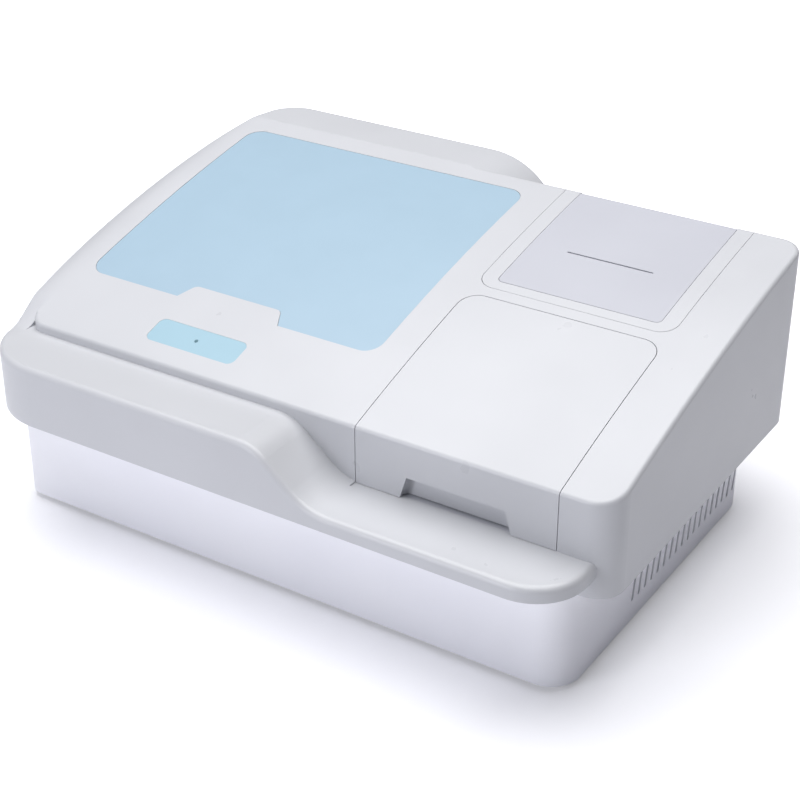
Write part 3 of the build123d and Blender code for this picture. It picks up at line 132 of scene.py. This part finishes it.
# %% Moulded plastics
def moulded_plastic(name, base, shade, roughness, grain_mm=0.35, depth_mm=0.006):
    material, tree, shader = new_material(name, base, roughness, Specular_IOR_Level=0.4)
    place = object_coordinates(tree)
    drift = noise(tree, place, 90)
    grain = noise(tree, place, grain_mm, detail=3)
    smudge = noise(tree, place, 25, detail=4)
    vary_colour(tree, shader, base, shade, drift.outputs[0])
    vary_roughness(tree, shader, smudge.outputs[0], roughness - 0.06, roughness + 0.06)
    add_bump(tree, shader, grain.outputs[0], depth_mm, 0.5)
    return material


finishes = {
    "cover_plastic": moulded_plastic("light_grey_moulding", "CCCDD1", "C9CACE", 0.3),
    # The base's near-white is partly its own lighter plastic and partly painted bounce light from the
    # floor.
    "base_plastic": moulded_plastic("base_moulding_painted_bounce", "F8F8FC", "F5F5FA", 0.5),
    "door_plastic": moulded_plastic("door_moulding", "C0C1C9", "BDBEC6", 0.4),
    "liner_plastic": moulded_plastic("bay_moulding", "C6C7CC", "C2C3C9", 0.5),
    "black_plastic": moulded_plastic("black_moulding", "1B1B1C", "202022", 0.5),
}
print("moulded plastics:", len(finishes))

# %% [markdown]
# The front panel and the status label are polyester films, printed on the back and lightly
# textured on the front. The ink shows a faint mottle, and the film's front is satin.


# %% Films
def printed_film(name, base, shade, roughness):
    material, tree, shader = new_material(name, base, roughness, Coat_Weight=0.12, Coat_Roughness=0.3)
    place = object_coordinates(tree)
    mottle = noise(tree, place, 40, detail=3)
    pearl = noise(tree, place, 0.8, detail=2)
    vary_colour(tree, shader, base, shade, mottle.outputs[0])
    vary_roughness(tree, shader, mottle.outputs[0], roughness - 0.05, roughness + 0.05)
    add_bump(tree, shader, pearl.outputs[0], 0.01, 0.4)
    return material


finishes["panel_film"] = printed_film("blue_panel_film", "A3BCCD", "A1BACB", 0.42)
finishes["label_film"] = printed_film("pale_label_film", "A0C1D0", "9EBFCE", 0.42)

# %% [markdown]
# Metals. Sheet parts are zinc plated, with the faint spangle of the plating. Rods and pins are
# ground, so their noise is stretched along X, the way they were ground. The optics are black
# anodised so that stray light dies in them.


# %% Metals
def plated_sheet(name, base, shade):
    material, tree, shader = new_material(name, base, 0.38, Metallic=1.0)
    place = object_coordinates(tree)
    spangle = add_node(tree, "ShaderNodeTexVoronoi", {"Vector": place.outputs[0]}, Scale=180.0)
    vary_colour(tree, shader, base, shade, spangle.outputs["Distance"], 0.0, 0.8)
    vary_roughness(tree, shader, spangle.outputs["Distance"], 0.30, 0.46)
    return material


def ground_steel(name, base):
    material, tree, shader = new_material(name, base, 0.2, Metallic=1.0)
    lines = noise(tree, object_coordinates(tree, (0.02, 1, 1)), 0.4, detail=3)
    vary_roughness(tree, shader, lines.outputs[0], 0.14, 0.3)
    add_bump(tree, shader, lines.outputs[0], 0.004, 0.4)
    return material


def anodised(name, base, shade, roughness, metallic=1.0):
    material, tree, shader = new_material(name, base, roughness, Metallic=metallic)
    place = object_coordinates(tree)
    etch = noise(tree, place, 0.5, detail=3)
    vary_colour(tree, shader, base, shade, etch.outputs[0])
    vary_roughness(tree, shader, etch.outputs[0], roughness - 0.08, roughness + 0.08)
    add_bump(tree, shader, etch.outputs[0], 0.006, 0.4)
    return material


finishes["galvanised_steel"] = plated_sheet("zinc_plated_sheet", "B4B8BC", "A6AAAE")
finishes["bright_steel"] = ground_steel("ground_steel", "C9C9CB")
finishes["anodised_aluminium"] = anodised("clear_anodised_aluminium", "B9BBBE", "B1B3B6", 0.4)
finishes["black_aluminium"] = anodised("black_anodised_aluminium", "19191B", "1F1F22", 0.5, 0.3)
finishes["black_steel"] = anodised("black_painted_steel", "18181A", "1D1D1F", 0.42, 0.0)

# %% [markdown]
# Rubber, paper, glass and the circuit board. Rubber has a dull bloom, thermal paper a smooth coat
# over short fibres, and the board a green mask over faint copper runs.


# %% Rubber, paper, glass and board
def rubber(name, base, shade):
    material, tree, shader = new_material(name, base, 0.75, Specular_IOR_Level=0.3)
    place = object_coordinates(tree)
    bloom = noise(tree, place, 6, detail=4)
    vary_colour(tree, shader, base, shade, bloom.outputs[0])
    vary_roughness(tree, shader, bloom.outputs[0], 0.68, 0.85)
    add_bump(tree, shader, noise(tree, place, 0.6).outputs[0], 0.03, 0.5)
    return material


def thermal_paper(name, base, shade):
    material, tree, shader = new_material(name, base, 0.55, Specular_IOR_Level=0.3)
    fibres = noise(tree, object_coordinates(tree, (0.2, 1, 1)), 0.5, detail=4)
    vary_colour(tree, shader, base, shade, fibres.outputs[0])
    add_bump(tree, shader, fibres.outputs[0], 0.01, 0.4)
    return material


def coated_glass(name, base, tint):
    material, tree, shader = new_material(name, base, 0.05, Transmission_Weight=0.85, IOR=1.5)
    film = noise(tree, object_coordinates(tree), 3, detail=1)
    vary_colour(tree, shader, base, tint, film.outputs[0])
    return material


def solder_mask(name, base, copper):
    material, tree, shader = new_material(name, base, 0.35, Coat_Weight=0.3, Coat_Roughness=0.2)
    place = object_coordinates(tree)
    runs = add_node(
        tree,
        "ShaderNodeTexBrick",
        {"Vector": place.outputs[0]},
        Scale=60.0,
        Mortar_Size=0.03,
        Color1=(1, 1, 1, 1),
        Color2=(1, 1, 1, 1),
        Mortar=(0, 0, 0, 1),
    )
    vary_colour(tree, shader, copper, base, runs.outputs["Color"], 0.0, 1.0)
    add_bump(tree, shader, runs.outputs["Color"], 0.05, 0.5)
    return material


finishes["rubber_grey"] = rubber("dark_grey_rubber", "3A3A3C", "434345")
finishes["rubber_black"] = rubber("black_rubber", "1A1A1A", "222222")
finishes["paper_white"] = thermal_paper("thermal_paper", "F2F1EC", "EAE9E3")
finishes["optical_glass"] = coated_glass("clear_lens_glass", "F2F6F8", "E8F0F4")
finishes["filter_glass"] = coated_glass("coated_filter_glass", "8C96CC", "A78CC4")
finishes["circuit_board"] = solder_mask("green_solder_mask", "12502A", "1B6A3A")
finishes["led_lens"] = moulded_plastic("smoked_led_lens", "6F8F98", "6A8A94", 0.35, 0.5, 0.005)
print("finishes:", len(finishes))

# %% [markdown]
# Every imported node takes the finish of its slot in the record, except the printer door, which is
# given a finish a touch greyer than the cover.

# %% Finishes onto the nodes
slot_of = {entry["node"]: entry["material_slot"] for entry in frame["record"]["subparts"]}
slot_of["printer_door"] = "door_plastic"
for name, node in frame["nodes"].items():
    node.data.materials.clear()
    node.data.materials.append(finishes[slot_of[name]])
print("nodes dressed:", len(slot_of))

# %% [markdown]
# Small hardware that comes in numbers. One tree of geometry nodes sets a copy of an item on every
# vertex of the mesh it is given, faces it one way and turns it by a seeded random angle, as a
# screwdriver leaves screw heads. The result is kept as a plain mesh.


# %% Repeats
def repeat_tree():
    tree = bpy.data.node_groups.new("repeat_on_points", "GeometryNodeTree")
    tree.interface.new_socket("Geometry", in_out="OUTPUT", socket_type="NodeSocketGeometry")
    for label, kind in (
        ("Points", "Geometry"),
        ("Item", "Object"),
        ("Finish", "Material"),
        ("Facing", "Vector"),
        ("Spin", "Float"),
        ("Seed", "Int"),
    ):
        tree.interface.new_socket(label, in_out="INPUT", socket_type="NodeSocket" + kind)
    given = add_node(tree, "NodeGroupInput").outputs
    item = add_node(tree, "GeometryNodeObjectInfo", {"Object": given["Item"]})
    placed = add_node(
        tree,
        "GeometryNodeInstanceOnPoints",
        {"Points": given["Points"], "Instance": item.outputs["Geometry"], "Rotation": given["Facing"]},
    )
    angle = add_node(tree, "FunctionNodeRandomValue", {3: given["Spin"], "Seed": given["Seed"]})
    about = add_node(tree, "ShaderNodeCombineXYZ", {"Z": angle.outputs[1]})
    turned = add_node(
        tree,
        "GeometryNodeRotateInstances",
        {"Instances": placed.outputs[0], "Rotation": about.outputs[0]},
    )
    real = add_node(tree, "GeometryNodeRealizeInstances", {"Geometry": turned.outputs[0]})
    done = add_node(
        tree,
        "GeometryNodeSetMaterial",
        {"Geometry": real.outputs[0], "Material": given["Finish"]},
    )
    add_node(tree, "NodeGroupOutput", {"Geometry": done.outputs[0]})
    return tree


def repeat(name, tree, places, item, finish, facing=(0, 0, 0), spin=0.0, seed=1):
    """A plain mesh with the item at every place, riding on the casing."""
    points = bpy.data.meshes.new(name + "_points")
    points.from_pydata(places, [], [])
    holder = bpy.data.objects.new(name + "_points", points)
    bpy.context.scene.collection.objects.link(holder)
    grower = holder.modifiers.new("repeat", "NODES")
    grower.node_group = tree
    inputs = {"Item": item, "Finish": finishes[finish], "Facing": facing, "Spin": spin, "Seed": seed}
    for socket in tree.interface.items_tree:
        if socket.name in inputs and socket.in_out == "INPUT":
            grower[socket.identifier] = inputs[socket.name]
    bpy.context.view_layer.update()
    grown = holder.evaluated_get(bpy.context.evaluated_depsgraph_get())
    mesh = bpy.data.meshes.new_from_object(grown)
    piece = bpy.data.objects.new(name, mesh)
    bpy.context.scene.collection.objects.link(piece)
    holder.modifiers.remove(grower)
    bpy.data.objects.remove(holder)
    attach(piece, "casing")
    print(name, "copies:", len(places), "faces:", len(mesh.polygons))


def solid_of(name, build):
    """An item object made by a function that fills a bmesh, in metres about its own origin."""
    mesh = bpy.data.meshes.new(name)
    shape = bmesh.new()
    build(shape)
    shape.to_mesh(mesh)
    shape.free()
    return bpy.data.objects.new(name, mesh)


# %% [markdown]
# A pan-head screw is a turned dome with a cross driven into it, and a belt tooth is a round-backed
# bar across the belt. The screws hold the rear panel and, from below, the posts of the base.


# %% Screws and belt teeth
def screw_head(shape):
    dome = ((0.0, 2.6), (0.5, 2.75), (1.1, 2.4), (1.55, 1.7), (1.75, 1.3))  # height and radius in mm
    cross_floor_mm = 0.9
    cross_reach = (1.05, 0.21, 0.21, 0.21, 0.21, 0.63)  # of one arm, corner by corner, in mm
    sides = 4 * len(cross_reach)
    rings = [(height, [radius] * sides) for height, radius in dome]
    rings.append((cross_floor_mm, cross_reach * 4))
    loops = []
    for height, reaches in rings:
        loop = []
        for n, reach in enumerate(reaches):
            turn = tau * n / sides
            place = (reach * cos(turn) / 1000, reach * sin(turn) / 1000, height / 1000)
            loop.append(shape.verts.new(place))
        loops.append(loop)
    for lower, upper in zip(loops, loops[1:]):
        for n in range(sides):
            shape.faces.new((lower[n], lower[(n + 1) % sides], upper[(n + 1) % sides], upper[n]))
    shape.faces.new(loops[0][::-1])
    shape.faces.new(loops[-1])


def belt_tooth(shape):
    half_width, radius, steps = 0.003, 0.0006, 10
    section = [(radius * cos(tau * n / steps), radius * sin(tau * n / steps)) for n in range(steps)]
    near, far = ([shape.verts.new((x, y, z)) for x, z in section] for y in (-half_width, half_width))
    for n in range(steps):
        after = (n + 1) % steps
        shape.faces.new((near[n], near[after], far[after], far[n]))
    shape.faces.new(near)
    shape.faces.new(far[::-1])


rows = repeat_tree()
screw = solid_of("screw_head", screw_head)
tray_low, tray_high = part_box("base_tray")
_, panel_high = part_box("rear_panel")
post_columns, post_rows = (-0.15, 0.0, 0.17), (-0.108, 0.114)
post_places = [(x, y, tray_low[2]) for x in post_columns for y in post_rows]
facing_down, facing_back = (pi, 0, 0), (-pi / 2, 0, 0)
repeat("base_screws", rows, post_places, screw, "galvanised_steel", facing_down, tau, 3)
corner_columns, corner_rows = (-0.116, 0.036), (0.0195, 0.0545)
panel_places = [(x, panel_high[1], z) for x in corner_columns for z in corner_rows]
repeat("panel_screws", rows, panel_places, screw, "bright_steel", facing_back, tau, 7)

tooth = solid_of("belt_tooth", belt_tooth)
belt_low, belt_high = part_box("drive_belt")
belt_depth, tooth_pitch = 0.0012, 0.002
bend_length = 0.011  # at each end, where the belt leaves the straight
belt_run = (belt_low[0] + bend_length, belt_high[0] - bend_length)
tooth_count = int((belt_run[1] - belt_run[0]) / tooth_pitch)
belt_middle = (belt_low[1] + belt_high[1]) / 2
tooth_places = [
    (belt_run[0] + n * tooth_pitch, belt_middle, level)
    for level in (belt_low[2] + belt_depth, belt_high[2] - belt_depth)
    for n in range(tooth_count)
]
repeat("belt_teeth", rows, tooth_places, tooth, "rubber_black")


# %% [markdown]
# Behind the slots on the right side hangs a thin, slightly uneven black pad. It is painted shade: it
# stands for the shade inside the casing, and it is why the slots look dark from outside.


# %% Painted shade behind the vents
def painted_shade_pad(low, high):
    def fill(shape):
        bmesh.ops.create_cube(shape, size=1.0)
        for corner in shape.verts:
            corner.co = [low[a] + (corner.co[a] + 0.5) * (high[a] - low[a]) for a in range(3)]
        bmesh.ops.bevel(shape, geom=shape.edges[:], offset=0.0006, segments=2, affect="EDGES")
        long_edges = [edge for edge in shape.edges if edge.calc_length() > 0.02]
        bmesh.ops.subdivide_edges(shape, edges=long_edges, cuts=40)
        unevenness, cells_per_metre = 0.0003, 900
        for point in shape.verts:
            point.co.x += unevenness * noise_at(point.co * cells_per_metre)

    pad = solid_of("vent_dust_pad", fill)
    bpy.context.scene.collection.objects.link(pad)
    # The black rubber finish on this pad is painted shade inside the vents.
    pad.data.materials.append(finishes["rubber_black"])
    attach(pad, "casing")


wall, clearance, pad_depth = 0.0025, 0.0006, 0.004
pad_front, pad_rear, pad_bottom, pad_top = -0.062, 0.127, 0.012, 0.055
pad_face = tray_high[0] - wall - clearance
painted_shade_pad((pad_face - pad_depth, pad_front, pad_bottom), (pad_face, pad_rear, pad_top))
# The pad hung here is painted shade behind the vent slots.
print("dust pad hung")

# %% [markdown]
# The studio: a pale floor, lit well enough to read as white paper and to throw a cool bounce up
# under the ribbon, and even surroundings. To the camera alone the floor also glows, more so with
# the distance from its middle, so only the contact shadow is left of it.


# %% Floor and surroundings
def camera_level(tree, unseen, seen):
    """A level that differs for what the camera sees directly."""
    rays = add_node(tree, "ShaderNodeLightPath")
    level = add_node(tree, "ShaderNodeMapRange", {"Value": rays.outputs["Is Camera Ray"]})
    level.inputs["To Min"].default_value = unseen
    level.inputs["To Max"].default_value = seen
    return level.outputs[0]


def studio_floor():
    bpy.ops.mesh.primitive_plane_add(size=12)
    floor = bpy.context.object
    floor.name = "studio_floor"
    material, tree, shader = new_material("pale_floor", "F2F2F6", 0.9, Specular_IOR_Level=0.0)
    shader.inputs["Emission Color"].default_value = (1, 1, 1, 1)
    place = add_node(tree, "ShaderNodeTexCoord")
    reach = add_node(tree, "ShaderNodeVectorMath", {0: place.outputs["Object"]}, operation="LENGTH")
    paper = add_node(tree, "ShaderNodeMapRange", {"Value": reach.outputs["Value"]})
    glow_range = {"From Min": 0.35, "From Max": 1.2, "To Min": 0.22, "To Max": 1.1}
    for label, value in glow_range.items():
        paper.inputs[label].default_value = value
    seen = camera_level(tree, 0.0, 1.0)
    glow = add_node(tree, "ShaderNodeMath", {0: paper.outputs[0], 1: seen}, operation="MULTIPLY")
    tree.links.new(glow.outputs[0], shader.inputs["Emission Strength"])
    floor.data.materials.append(material)


def studio_world(strength, seen_strength):
    world = bpy.data.worlds.new("studio_world")
    bpy.context.scene.world = world
    world.use_nodes = True
    tree = world.node_tree
    background = tree.nodes["Background"]
    background.inputs["Color"].default_value = colour("E6E9F8")
    tree.links.new(camera_level(tree, strength, seen_strength), background.inputs["Strength"])


studio_floor()
studio_world(0.10, 1.3)
print("floor laid")

# %% [markdown]
# One broad soft light hangs high above the bench, a little behind its middle, as a large soft box
# would. A weaker, slightly cool one fills from low at the front left.


# %% Lights
def soft_light(name, place, aim, size, power, tint="FFFFFF"):
    lamp = bpy.data.lights.new(name, "AREA")
    lamp.shape = "DISK"
    lamp.size = size
    lamp.energy = power
    lamp.color = colour(tint)[:3]
    holder = bpy.data.objects.new(name, lamp)
    bpy.context.scene.collection.objects.link(holder)
    holder.location = place
    direction = Vector(aim) - Vector(place)
    holder.rotation_euler = direction.to_track_quat("-Z", "Y").to_euler()


soft_light("overhead_softbox", (-0.1, 0.1, 1.8), (0, 0, 0.1), size=2.2, power=45)
soft_light("low_front_fill", (-0.5, -1.7, 0.6), (0, 0, 0.05), size=0.9, power=10.5, tint="F6F8FF")
print("lights placed")

# %% [markdown]
# The camera stands above and to the right of the user's side, with a short telephoto lens.

# %% Camera
focal_length_mm, sensor_mm = 77.51, 36.0
look_down, look_left = 28.82, 32.83  # degrees
lens = bpy.data.cameras.new("camera")
lens.lens = focal_length_mm
lens.sensor_width = sensor_mm
camera = bpy.data.objects.new("camera", lens)
bpy.context.scene.collection.objects.link(camera)
camera.location = (0.56434, -0.86530, 0.64988)
camera.rotation_euler = (radians(90 - look_down), 0, radians(look_left))
bpy.context.scene.camera = camera
bpy.context.scene.view_settings.view_transform = "Standard"
print("camera placed")
